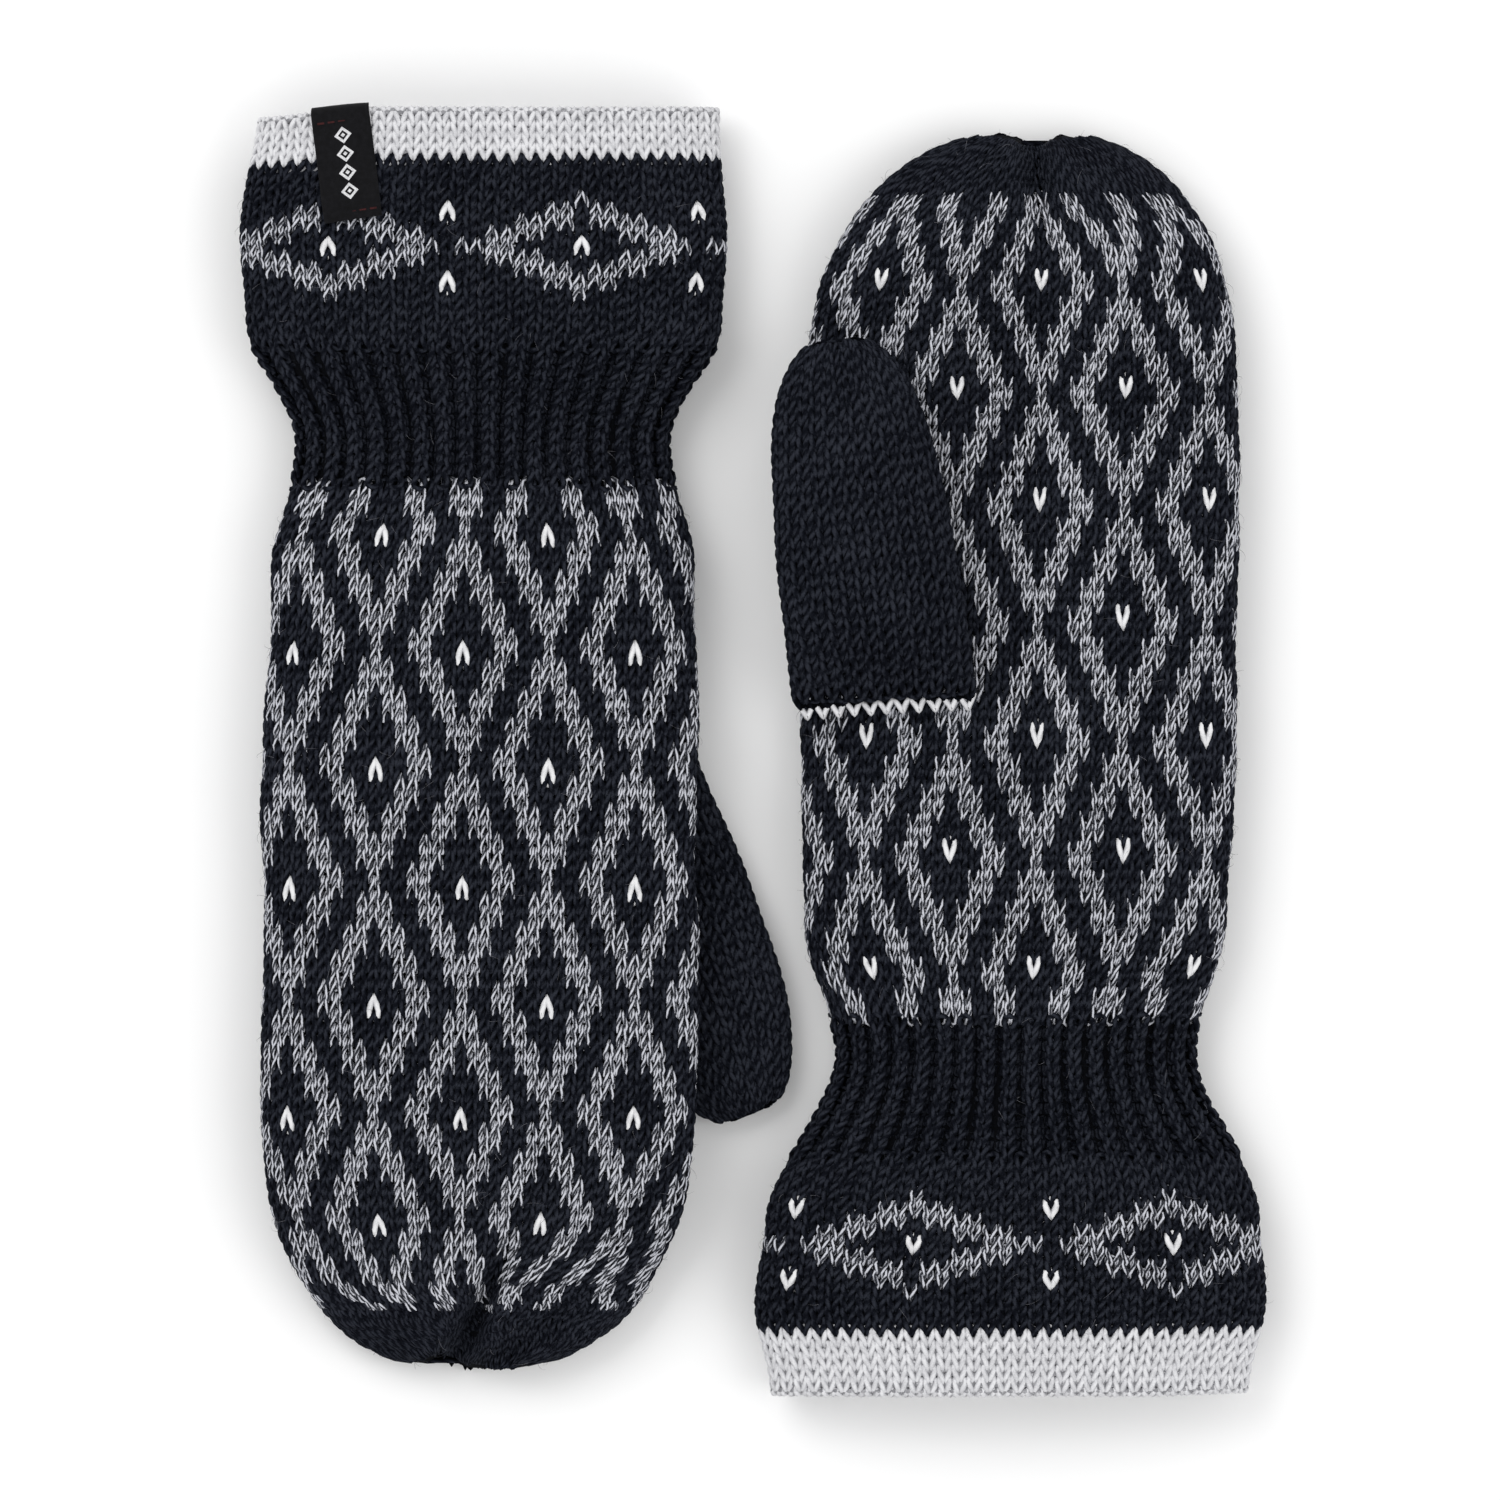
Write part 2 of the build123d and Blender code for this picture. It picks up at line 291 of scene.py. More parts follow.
def crown(s):
    """1 along the hand, falling to 0 where the fabric is gathered at the tip."""
    part = max(s - SHOULDER, 0) / (LENGTH - SHOULDER)
    return (1 - part**CROWN_POWER) ** (1 / CROWN_POWER)


def heights(mitten, u, s):
    """The middle height and the half thickness of a mitten at points of its plan."""
    flat = TIP_HALF_THICKNESS + (along(HALF_THICKNESS, s) - TIP_HALF_THICKNESS) * crown(s)
    patch = smooth(u, *PATCH_ACROSS) * smooth(s, *PATCH_NEAR) * (1 - smooth(s, *PATCH_FAR))
    under = mitten["under_shift"] * patch
    over = 2 * flat + mitten["over_shift"] * patch
    return (over + under) / 2, (over - under) / 2


def fold_depth(u, s, start, end, depth, width):
    """How far the fabric sinks into a fold that runs from start to end in plan and fades out towards its end.
    It rises a little beside the fold, where its slack gathers."""
    run = np.array(end, dtype=float) - np.array(start)
    length = math.hypot(*run)
    forward = ((u - start[0]) * run[0] + (s - start[1]) * run[1]) / length
    aside = ((u - start[0]) * run[1] - (s - start[1]) * run[0]) / length
    fade = 1 - smooth(forward, FOLD_FULL_SHARE * length, length)
    slack = FOLD_SLACK * bell(np.abs(aside), SLACK_OFFSET * width, width)
    return depth * fade * (bell(aside, 0, width) - slack)


def hand_ring(mitten, s, inset, turns):
    """The outline across a mitten at s, moved inwards by inset. Turn 0 is the middle of the upper face."""
    half_width = (along(mitten["half_widths"], s) - inset) * crown(s)
    u = half_width * squared_off(np.sin(turns))
    middle, half = heights(mitten, u, s)
    fold_start = (mitten["gather_u"], FOLD_START)
    sunk = sum(fold_depth(u, s, fold_start, *fold) for fold in mitten["folds"]) / 2
    sunk = np.minimum(sunk, DEEPEST_FOLD * half)
    notch = NOTCH_DEPTH * bell(u, mitten["gather_u"], NOTCH_WIDTH) * smooth(s, *NOTCH_RUN)
    drop = mitten["corner_drop"] * smooth(-u, *CORNER_ACROSS) * (1 - smooth(s, *CORNER_RUN))
    past_shoulder = max(s - SHOULDER, 0.0) / (LENGTH - SHOULDER)
    x = mitten["x"] + mitten["lean"] * s + mitten["facing"] * u
    y = mitten["facing"] * (MOUTH_Y - s - drop + notch + END_COVER * inset * past_shoulder)
    z = middle - sunk + np.maximum(half - sunk - inset, THINNEST) * squared_off(np.cos(turns))
    return np.stack([x, y, z], axis=-1)


def thumb_base(mitten):
    """The middle of the thumb's base row, in plan."""
    x = mitten["x"] + mitten["lean"] * THUMB_BASE_S + mitten["facing"] * THUMB_BASE_U
    return np.array([x, mitten["facing"] * (MOUTH_Y - THUMB_BASE_S), 0.0])


def thumb_directions(mitten):
    """Unit vectors across the thumb and out along it."""
    angle = math.radians(mitten["thumb_angle"])
    across = np.array([math.cos(angle), math.sin(angle), 0.0]) * mitten["facing"]
    outwards = np.array([math.sin(angle), -math.cos(angle), 0.0]) * mitten["facing"]
    return across, outwards


def thumb_ring(mitten, out, inset, turns):
    """The outline across the thumb at a distance out from its base, moved inwards by inset."""
    length = mitten["thumb_length"]
    closing = (1 - (max(out, 0.0) / length) ** THUMB_ROUNDING) ** (1 / SECTION_POWER)
    half_width = (THUMB_HALF_WIDTH - inset) * closing
    full = along(mitten["thumb_half_thickness"], out)
    whole = THUMB_TIP_HALF_THICKNESS + (full - THUMB_TIP_HALF_THICKNESS) * closing
    half = whole * (THUMB_BASE_SHARE + (1 - THUMB_BASE_SHARE) * smooth(out, *THUMB_BASE_RUN))
    middle = mitten["thumb_bottom"] + half + 2 * mitten["thumb_hang"] * (whole - half)
    out = out - inset * smooth(out, length - THUMB_CLOSING, length)
    across, outwards = thumb_directions(mitten)
    side = half_width * squared_off(np.sin(turns))
    sloped = out + mitten["row_slope"] * side * (1 - smooth(out, 0.0, ROW_SLOPE_END))
    rise = middle + np.maximum(half - inset, THINNEST) * squared_off(np.cos(turns))
    points = thumb_base(mitten) + side[:, None] * across + sloped[:, None] * outwards
    points[:, 2] = rise
    return points


def ripple(count, low, high):
    """A smooth, uneven pattern over (distance, share): a seeded sum of slow waves, from about -1 to 1."""
    waves = []
    for _ in range(count):
        length = rng.uniform(low, high)
        turns = rng.integers(1, 6)
        waves.append((2 * math.pi / length, turns, rng.uniform(0, 2 * math.pi)))

    def value(distance, share):
        total = 0
        for frequency, turns, phase in waves:
            total = total + np.sin(frequency * distance + 2 * math.pi * turns * share + phase)
        return total / math.sqrt(count)

    return value


class Skin:
    """The outer surface of a tube of fabric, read by distance along it and share of the way round."""

    COLUMNS = 608

    def __init__(self, ring, rows, relief):
        """ring(distance, turns) gives the outline, rows are the distances, and relief(rows, shares) gives the
        height of the lumps."""
        self.rows = rows
        turns = np.linspace(-math.pi, math.pi, 4 * self.COLUMNS + 1)
        shares = (np.arange(self.COLUMNS) + 0.5) / self.COLUMNS
        grid = []
        for row in rows:
            points = ring(row, turns)
            steps = np.linalg.norm(np.diff(points, axis=0), axis=1)
            length = np.concatenate([[0.0], np.cumsum(steps)])
            share = (length - length[len(turns) // 2]) / length[-1] + 0.5
            wrapped = np.concatenate([share[:-1] - 1, share[:-1], share[:-1] + 1])
            repeated = np.concatenate([points[:-1]] * 3)
            grid.append(np.stack([np.interp(shares, wrapped, repeated[:, i]) for i in range(3)], axis=-1))
        self.grid = np.array(grid)
        self._orient()
        lumps = relief(rows[:, None], shares[None, :])
        self.grid = self.grid + self.normals * lumps[..., None]
        self._orient()

    def _orient(self):
        """Works out the outward normals of the grid."""
        lengthwise = np.gradient(self.grid, self.rows, axis=0)
        around = np.roll(self.grid, -1, axis=1) - np.roll(self.grid, 1, axis=1)
        normals = np.cross(around, lengthwise)
        normals /= np.linalg.norm(normals, axis=-1, keepdims=True)
        outward = self.grid - self.grid.mean(axis=1, keepdims=True)
        if (normals * outward).sum() < 0:
            normals = -normals
        self.normals = normals
        self.stretch = np.linalg.norm(around, axis=-1) * self.COLUMNS / 2

    def _read(self, table, distance, share):
        """Values of a table between the grid's rows and columns."""
        row = np.interp(distance, self.rows, np.arange(len(self.rows)))
        row_index = np.clip(row.astype(int), 0, len(self.rows) - 2)
        row_part = row - row_index
        column = (share % 1.0) * self.COLUMNS - 0.5
        column_index = np.floor(column).astype(int)
        column_part = column - column_index
        if table.ndim == 3:
            row_part = row_part[..., None]
            column_part = column_part[..., None]
        near = table[row_index, column_index % self.COLUMNS]
        beside = table[row_index, (column_index + 1) % self.COLUMNS]
        far = table[row_index + 1, column_index % self.COLUMNS]
        far_beside = table[row_index + 1, (column_index + 1) % self.COLUMNS]
        first = near * (1 - column_part) + beside * column_part
        second = far * (1 - column_part) + far_beside * column_part
        return first * (1 - row_part) + second * row_part

    def at(self, distance, share):
        """Points and outward normals. Before the first row, the surface rolls over the edge and inwards."""
        points = self._read(self.grid, distance, share)
        normals = self._read(self.normals, distance, share)
        past = np.maximum(self.rows[0] - distance, 0.0)
        if past.any():
            step = self._read(self.grid, np.full_like(distance, self.rows[0] + 1.0), share)
            axis = self._read(self.grid, np.full_like(distance, self.rows[0]), share) - step
            axis /= np.linalg.norm(axis, axis=-1, keepdims=True)
            turn = np.minimum(past / ROLL_RADIUS, math.pi)[..., None]
            back = np.maximum(past - math.pi * ROLL_RADIUS, 0.0)[..., None]
            rolled = ROLL_RADIUS * ((np.cos(turn) - 1) * normals + np.sin(turn) * axis) - back * axis
            points = points + rolled
            normals = normals * np.cos(turn) + axis * np.sin(turn)
        return points, normals / np.linalg.norm(normals, axis=-1, keepdims=True)

    def round(self, distance, share):
        """The length once round the skin, there."""
        return self._read(self.stretch, distance, share)


def loop_turns():
    """Steps round one stitch, evenly spaced along its yarn, from one foot of the loop to the next."""
    turn = np.linspace(-math.pi, math.pi, 721)
    width, height = TYPICAL_STITCH
    x = width * (turn / (2 * math.pi) + LOOP_SWING * np.sin(2 * turn))
    y = height * LOOP_REACH * np.cos(turn)
    length = np.concatenate([[0.0], np.cumsum(np.hypot(np.diff(x), np.diff(y)))])
    return np.interp(np.arange(RINGS_PER_STITCH) / RINGS_PER_STITCH * length[-1], length, turn)


LOOP_TURNS = loop_turns()


def tube_rings(centres, normals, widths, closed=True):
    """Rings of points round yarn centre lines. The second-last axis of centres runs along each yarn."""
    if closed:
        tangents = np.roll(centres, -1, axis=-2) - np.roll(centres, 1, axis=-2)
    else:
        tangents = np.gradient(centres, axis=-2)
    tangents /= np.linalg.norm(tangents, axis=-1, keepdims=True)
    side = np.cross(tangents, normals)
    side /= np.linalg.norm(side, axis=-1, keepdims=True)
    up = np.cross(side, tangents)
    angle = 2 * math.pi * np.arange(YARN_SIDES) / YARN_SIDES
    wide = np.cos(angle)[:, None] * side[..., None, :]
    high = np.sin(angle)[:, None] * up[..., None, :] * YARN_FLATNESS
    return centres[..., None, :] + widths[..., None, None] * (wide + high)


def knit(skin, gauge, rows, spacing, colours, depth=FABRIC_DEPTH, ribbed=False):
    """The rings of whole courses of stockinette, as (course, ring, side, 3). colours gives each stitch its
    yarn, and ribbed sinks every second wale and turns its loops round."""
    wales = gauge["wales"]
    courses = len(rows)
    turn = LOOP_TURNS[None, None, :]
    window = 1 - np.abs(turn / math.pi) ** 4
    shape = (courses, wales, 1)
    size = 1 + STITCH_JITTER * rng.standard_normal(shape) * window
    size = size * (1 + DOT_GROWTH * (colours == 2)[:, :, None] * window)
    shift = 0.5 * STITCH_JITTER * rng.standard_normal(shape) * window
    drop = STITCH_JITTER * rng.standard_normal(shape) * window
    across = turn / (2 * math.pi) + LOOP_SWING * np.sin(2 * turn) * size + shift
    high = LOOP_REACH * np.cos(turn) * size + drop
    out = -LOOP_DEPTH * np.cos(2 * turn) + LOOP_TILT * np.cos(turn)
    wale = np.arange(wales)[None, :, None]
    place = wale + 0.5 + across
    if ribbed:
        knit_side = np.cos(math.pi * (place - 0.5))
        facing = np.where(wale % 2 == 0, 1.0, -1.0)
        out = out * np.where(facing > 0, 1.0, PURL_RELIEF) + RIB_DEPTH * (knit_side - RIB_BIAS)
        place = place + RIB_PULL * np.sin(math.pi * (place - 0.5))
    distance = np.minimum(rows[:, None, None] + spacing[:, None, None] * high, skin.rows[-1] - END_MARGIN)
    share = place / wales
    distance, share, out = np.broadcast_arrays(distance, share, out)
    distance = distance.reshape(courses, -1)
    share = share.reshape(courses, -1)
    points, normals = skin.at(distance, share)
    squeeze = np.minimum(skin.round(distance, share) / (wales * FREE_PITCH * gauge["radius"]), 1.0)
    fullness = np.tile(window.ravel(), wales)
    girth = 1 + (np.repeat(GIRTHS[colours], RINGS_PER_STITCH, axis=1) - 1) * fullness
    width = gauge["radius"] * squeeze**SQUEEZE_POWER * girth
    out = out.reshape(courses, -1) + np.repeat(PROUD[colours], RINGS_PER_STITCH, axis=1) * fullness
    centres = points + normals * (out - depth)[..., None]
    rings = tube_rings(centres, normals, width)
    rings[..., 2] = np.maximum(rings[..., 2], 0.0)
    return rings


def write_mesh(name, points, faces, layers):
    """A smooth mesh object. faces are index arrays, one per number of corners, and layers the UV maps."""
    mesh = bpy.data.meshes.new(name)
    corners = np.concatenate([group.ravel() for group in faces]).astype(np.int32)
    sizes = np.concatenate([np.full(len(group), group.shape[1]) for group in faces])
    starts = np.concatenate([[0], np.cumsum(sizes)[:-1]]).astype(np.int32)
    mesh.vertices.add(len(points))
    mesh.vertices.foreach_set("co", (points * MM).astype(np.float32).ravel())
    mesh.loops.add(len(corners))
    mesh.loops.foreach_set("vertex_index", corners)
    mesh.polygons.add(len(sizes))
    mesh.polygons.foreach_set("loop_start", starts)
    mesh.polygons.foreach_set("use_smooth", np.ones(len(sizes), dtype=bool))
    for layer_name, values in layers.items():
        layer = mesh.uv_layers.new(name=layer_name)
        layer.data.foreach_set("uv", values.astype(np.float32).ravel())
    mesh.update(calc_edges=True)
    piece = bpy.data.objects.new(name, mesh)
    bpy.context.scene.collection.objects.link(piece)
    return piece


def yarn_mesh(name, rings, chosen, closed=True):
    """A mesh of the chosen stitches' yarn, with each run of them closed at both ends. Its UV map "yarn" gives
    the length along the yarn in centimetres and the share of the way round it. Its UV map "OFBake" lays the
    courses side by side, each in four strips, so that a baked picture has room for every stitch."""
    courses, count, sides, _ = rings.shape
    used = np.repeat(chosen, count // chosen.shape[1], axis=1)
    if not closed:
        used = used.copy()
        used[:, -1] = False
    index = np.arange(courses * count).reshape(courses, count)
    after = np.roll(index, -1, axis=1)
    side = np.arange(sides)
    beside = (side + 1) % sides
    a = index[used][:, None] * sides
    b = after[used][:, None] * sides
    quads = np.stack([a + side, a + beside, b + beside, b + side], axis=-1).reshape(-1, 4)
    begins = used & ~np.roll(used, 1, axis=1)
    ends = used & ~np.roll(used, -1, axis=1)
    caps = np.concatenate([index[begins][:, None] * sides + side[::-1], after[ends][:, None] * sides + side])

    centres = rings.mean(axis=2)
    steps = np.linalg.norm(np.roll(centres, -1, axis=1) - centres, axis=-1)
    length = np.concatenate([np.zeros((courses, 1)), np.cumsum(steps, axis=1)], axis=1) * 0.1
    start = length[:, :-1][used][:, None] + 0 * side
    end = length[:, 1:][used][:, None] + 0 * side
    low = np.broadcast_to(side / sides, start.shape)
    high = low + 1 / sides
    twist = np.stack([start, low, start, high, end, high, end, low], axis=-1).reshape(-1, 2)
    cap_twist = np.zeros((caps.size, 2))

    blocks = 4
    block_length = math.ceil(count / blocks)
    course_number, ring_number = np.divmod(index[used], count)
    block, column = np.divmod(ring_number, block_length)
    left = (column / block_length)[:, None] + 0 * side
    right = left + blocks / count
    strip = (block * courses + course_number)[:, None]
    floor = (strip + side / sides) / (blocks * courses)
    ceiling = floor + 1 / (sides * blocks * courses)
    sheet = np.stack([left, floor, left, ceiling, right, ceiling, right, floor], axis=-1).reshape(-1, 2)
    kept, renumbered = np.unique(np.concatenate([quads.ravel(), caps.ravel()]), return_inverse=True)
    points = rings.reshape(-1, 3)[kept]
    faces = [renumbered[: quads.size].reshape(-1, 4), renumbered[quads.size :].reshape(-1, sides)]
    faces = [group for group in faces if len(group)]
    layers = {
        "yarn": np.concatenate([twist, cap_twist]),
        "OFBake": np.concatenate([np.clip(sheet, 0, 1), cap_twist]),
    }
    return write_mesh(name, points, faces, layers)


def layer_mesh(name, ring, rows, depths, closed_end):
    """A tube of even thickness between two depths below the outline, open at its first row."""
    columns = 128
    turns = np.linspace(-math.pi, math.pi, columns, endpoint=False)
    outer = [ring(row, depths[0], turns) for row in rows]
    inner = [ring(row, depths[1], turns) for row in rows[::-1]]
    points = np.concatenate(outer + inner)
    count = 2 * len(rows)
    index = np.arange(count * columns).reshape(count, columns)
    bands = np.arange(count)
    if closed_end:
        bands = np.delete(bands, len(rows) - 1)
    first = index[bands]
    second = index[(bands + 1) % count]
    quads = np.stack([first, np.roll(first, -1, axis=1), np.roll(second, -1, axis=1), second], axis=-1)
    faces = [quads.reshape(-1, 4)]
    if closed_end:
        faces.append(np.stack([index[len(rows) - 1], index[len(rows)][::-1]]))
    column = np.tile(np.arange(columns), count) / columns
    row = np.repeat(np.arange(count), columns) / (count - 1)
    flat = np.stack([column, row], axis=-1)
    uv = np.concatenate([flat[group.ravel()] for group in faces])
    return write_mesh(name, points, faces, {"fabric": uv})


def upright_loop(name, centre, across, size):
    """A loop of yarn that stands across a tip. size is its half width, half height and yarn radius."""
    half_width, half_height, radius = size
    turn = np.linspace(0, 2 * math.pi, 48, endpoint=False)[:, None]
    up = np.array([0.0, 0.0, 1.0])
    path = centre + half_width * np.cos(turn) * across + half_height * np.sin(turn) * up
    normals = np.broadcast_to(np.cross(across, up), path.shape)
    rings = tube_rings(path, normals, np.full(len(path), radius))[None]
    return yarn_mesh(name, rings, np.ones((1, len(path)), dtype=bool))


# Materials -------------------------------------------------------------------------------------------------


class Value:
    """A number that a material works out at every point. Formulas of such values read as arithmetic."""

    def __init__(self, tree, socket):
        self.tree = tree
        self.socket = socket

    def math(self, operation, other=0.0):
        """The result of a Math node for this value and another value or number."""
        node = self.tree.nodes.new("ShaderNodeMath")
        node.operation = operation
        self.tree.links.new(self.socket, node.inputs[0])
        if isinstance(other, Value):
            self.tree.links.new(other.socket, node.inputs[1])
        else:
            node.inputs[1].default_value = other
        return Value(self.tree, node.outputs[0])

    def __add__(self, other):
        return self.math("ADD", other)

    def __sub__(self, other):
        return self.math("SUBTRACT", other)

    def __mul__(self, other):
        return self.math("MULTIPLY", other)

    def __truediv__(self, other):
        return self.math("DIVIDE", other)


def new_material(name, roughness, sheen, specular, tint=(1.0, 1.0, 1.0)):
    """A node material, its tree and its shader, which has a soft textile sheen."""
    material = bpy.data.materials.new(name)
    material.use_nodes = True
    shader = material.node_tree.nodes["Principled BSDF"]
    for socket, value in (
        ("Roughness", roughness),
        ("Specular IOR Level", specular),
        ("Sheen Weight", sheen),
        ("Sheen Roughness", 0.45),
        ("Sheen Tint", (*tint, 1.0)),
    ):
        shader.inputs[socket].default_value = value
    return material, material.node_tree, shader


def add_node(tree, kind, **settings):
    """A node with its settings. Names of inputs are given their values, and other names are attributes."""
    node = tree.nodes.new(kind)
    for name, value in settings.items():
        if name in node.inputs:
            node.inputs[name].default_value = value
        else:
            setattr(node, name, value)
    return node


def noise(tree, scale, detail=2.0, roughness=0.6):
    """Noise that keeps its place on the piece, with features of about 1/scale metres."""
    where = tree.nodes.new("ShaderNodeTexCoord")
    node = add_node(tree, "ShaderNodeTexNoise", Scale=scale, Detail=detail, Roughness=roughness)
    tree.links.new(where.outputs["Object"], node.inputs["Vector"])
    return Value(tree, node.outputs["Fac"])


def uv_values(tree, layer):
    """The two coordinates of a UV map."""
    where = add_node(tree, "ShaderNodeUVMap", uv_map=layer)
    split = tree.nodes.new("ShaderNodeSeparateXYZ")
    tree.links.new(where.outputs["UV"], split.inputs["Vector"])
    return Value(tree, split.outputs["X"]), Value(tree, split.outputs["Y"])


def ramp(tree, value, stops):
    """A colour ramp of (place, colour) stops, read by value."""
    node = tree.nodes.new("ShaderNodeValToRGB")
    elements = node.color_ramp.elements
    while len(elements) < len(stops):
        elements.new(0.5)
    for element, (place, colour) in zip(elements, stops):
        element.position = place
        element.color = (*colour, 1.0)
    tree.links.new(value.socket, node.inputs["Fac"])
    return node.outputs["Color"]


def finish_shader(tree, shader, colour, height, distance):
    """Gives the shader its colour and its relief, whose height is distance in metres for a value of 1."""
    tree.links.new(colour, shader.inputs["Base Color"])
    bump = add_node(tree, "ShaderNodeBump", Strength=0.6, Distance=distance)
    tree.links.new(height.socket, bump.inputs["Height"])
    tree.links.new(bump.outputs["Normal"], shader.inputs["Normal"])


def yarn_material(name, stops, plies, pitch, ply_share, painted_shade_share, gloss, tint, patchiness=0.3):
    """Twisted yarn. Its tone runs through the colour stops, from the grooves and the sides of the yarn to the
    crests of its plies. The crest term is painted light and shade: the yarn's upper side is painted lighter
    and its sides and underside darker. The ply wave is the plies' own two colours in the marl, and painted
    shade in the grooves of the one-colour yarns. The shares say how much plies and the painted crest light
    count, patchiness how much the tone drifts, and pitch how many centimetres a ply takes to go once round."""
    material, tree, shader = new_material(name, 0.92, gloss, gloss, tint)
    length, round_share = uv_values(tree, "yarn")
    phase = (length / pitch + round_share) * plies + noise(tree, 420.0) * 0.6
    # The ply wave: the plies' own two colours in the marl, and painted shade in the grooves of the one-colour
    # yarns.
    wave = (phase * (2 * math.pi)).math("SINE") * 0.5 + 0.5
    # Painted light and shade round the yarn: lightest on its upper side, darker at its sides and underside.
    crest = ((round_share - 0.25) * (2 * math.pi)).math("COSINE") * 0.5 + 0.5
    fibres = noise(tree, 3200.0, 3.0, 0.75)
    patches = noise(tree, 70.0)
    tone = (wave - 0.5) * ply_share + (crest - 0.5) * painted_shade_share
    tone = tone + (fibres - 0.5) * 0.9 + (patches - 0.5) * patchiness + 0.5
    finish_shader(tree, shader, ramp(tree, tone, stops), wave + fibres * 0.8, 0.0002)
    return material


def fabric_material(name, dark, light, grain, height):
    """A close, matt textile face: a fine noisy grain in two tones."""
    material, tree, shader = new_material(name, 0.95, 0.1, 0.1, light)
    fibres = noise(tree, grain, 4.0, 0.7)
    finish_shader(tree, shader, ramp(tree, fibres, [(0.3, dark), (0.7, light)]), fibres, height)
    return material


def label_material():
    """Black satin ribbon with a woven column of small pale diamonds."""
    material, tree, shader = new_material("label_weave", 0.7, 0.03, 0.1)
    across, down = uv_values(tree, "label")
    from_middle = ((down / MOTIF_PITCH).math("FRACT") - 0.5).math("ABSOLUTE") * MOTIF_PITCH
    reach = across.math("ABSOLUTE") + from_middle
    outline = reach.math("LESS_THAN", MOTIF_OUTER) * reach.math("GREATER_THAN", MOTIF_INNER)
    column = down.math("GREATER_THAN", MOTIF_PITCH) * down.math("LESS_THAN", MOTIF_PITCH * (1 + MOTIFS))
    motif = (outline + reach.math("LESS_THAN", MOTIF_CENTRE)) * column
    warp = (across * (2 * math.pi / WARP_PITCH)).math("SINE")
    weave = warp * (down * (2 * math.pi / WEFT_PITCH)).math("SINE")
    grain = weave * 0.3 + noise(tree, 900.0)
    ground = ramp(tree, grain, [(0.2, (0.0015, 0.0015, 0.002)), (0.9, (0.008, 0.008, 0.01))])
    thread = ramp(tree, noise(tree, 2500.0), [(0.3, (0.5, 0.5, 0.52)), (0.7, (0.85, 0.85, 0.86))])
    mix = add_node(tree, "ShaderNodeMix", data_type="RGBA")
    for place, socket in ((0, motif.socket), (6, ground), (7, thread)):
        tree.links.new(socket, mix.inputs[place])
    finish_shader(tree, shader, mix.outputs[2], weave + motif * 1.2, 0.00008)
    return material


# Each yarn's tone carries painted light and shade round the yarn, lighter on its upper side and darker at its
# sides; the one-colour yarns also carry painted shade in their ply grooves, while the marl's ply wave is its
# real two colours.
NAVY = yarn_material(
    "navy_yarn",
    [(0.2, (0.0008, 0.0009, 0.0014)), (0.62, (0.0042, 0.005, 0.0082)), (1.0, (0.026, 0.029, 0.039))],
    plies=2.0, pitch=0.6, ply_share=0.35, painted_shade_share=0.5, gloss=0.03, tint=(0.1, 0.11, 0.16),
)
MARL = yarn_material(
    "marl_yarn",
    [(0.5, (0.006, 0.0065, 0.009)), (0.78, (0.075, 0.08, 0.096)), (1.0, (0.56, 0.57, 0.62))],
    plies=3.0, pitch=1.1, ply_share=0.6, painted_shade_share=0.75, gloss=0.08, tint=(0.8, 0.8, 0.85),
)
PALE = yarn_material(
    "band_yarn",
    [(0.1, (0.2, 0.2, 0.215)), (0.55, (0.5, 0.5, 0.52)), (0.95, (0.74, 0.74, 0.76))],
    plies=2.0, pitch=0.9, ply_share=0.2, painted_shade_share=0.6, gloss=0.08, tint=(0.8, 0.8, 0.85), patchiness=0.1,
)
DOT = yarn_material(
    "dot_yarn",
    [(0.0, (0.2, 0.2, 0.22)), (0.5, (0.5, 0.5, 0.52)), (0.9, (0.76, 0.76, 0.77))],
    plies=2.0, pitch=0.8, ply_share=0.3, painted_shade_share=0.8, gloss=0.08, tint=(0.9, 0.9, 0.9),
)
NAVY_FLOATS = fabric_material("navy_floats", (0.0012, 0.0014, 0.0022), (0.003, 0.0035, 0.0055), 900.0, 0.0004)
PALE_FLOATS = fabric_material("band_floats", (0.22, 0.22, 0.24), (0.42, 0.42, 0.45), 900.0, 0.0004)
PILE = fabric_material("lining_pile", (0.012, 0.0125, 0.015), (0.07, 0.073, 0.083), 1100.0, 0.0012)
LIGHT_FIBRE = fabric_material("light_fibre", (0.08, 0.08, 0.09), (0.26, 0.26, 0.29), 400.0, 0.0)
DARK_FIBRE = fabric_material("dark_fibre", (0.006, 0.0065, 0.009), (0.025, 0.027, 0.035), 400.0, 0.0)
LABEL = label_material()
THREAD = fabric_material("label_thread", (0.02, 0.007, 0.008), (0.07, 0.02, 0.02), 3000.0, 0.0001)


# Pieces ----------------------------------------------------------------------------------------------------


def finish_piece(piece, material, body, slot, replaced=(), bend=None):
    piece.data.materials.append(material)
    if replaced:
        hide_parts(*replaced)
    if bend:
        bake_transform(piece)
    else:
        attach(piece, body)


def hand_colours(mitten, rows):
    """The colour of every hand stitch: 0 navy, 1 marl, 2 dot. Stepped diamonds, each round a dot, lie half a
    repeat aside in every second round."""
    wales = np.arange(HAND["wales"])[None, :]
    course = np.arange(len(rows))[:, None]
    colours = np.zeros((len(rows), HAND["wales"]), dtype=int)
    half = DIAMOND_WALES // 2
    low, high = DIAMOND_OUTLINE
    for repeat in range(-1, len(rows) // DIAMOND_COURSES + 2):
        row = FIRST_DOT_COURSE + DIAMOND_COURSES * repeat - course
        column = (wales - mitten["first_dot_wale"] - half * (repeat % 2) + half) % DIAMOND_WALES - half
        reach = 2 * np.abs(column) + np.abs(row - 0.5)
        colours[(reach >= low) & (reach <= high)] = 1
        colours[(column == 0) & (row == 0)] = 2
    colours[rows > PATTERN_END] = 0
    return colours


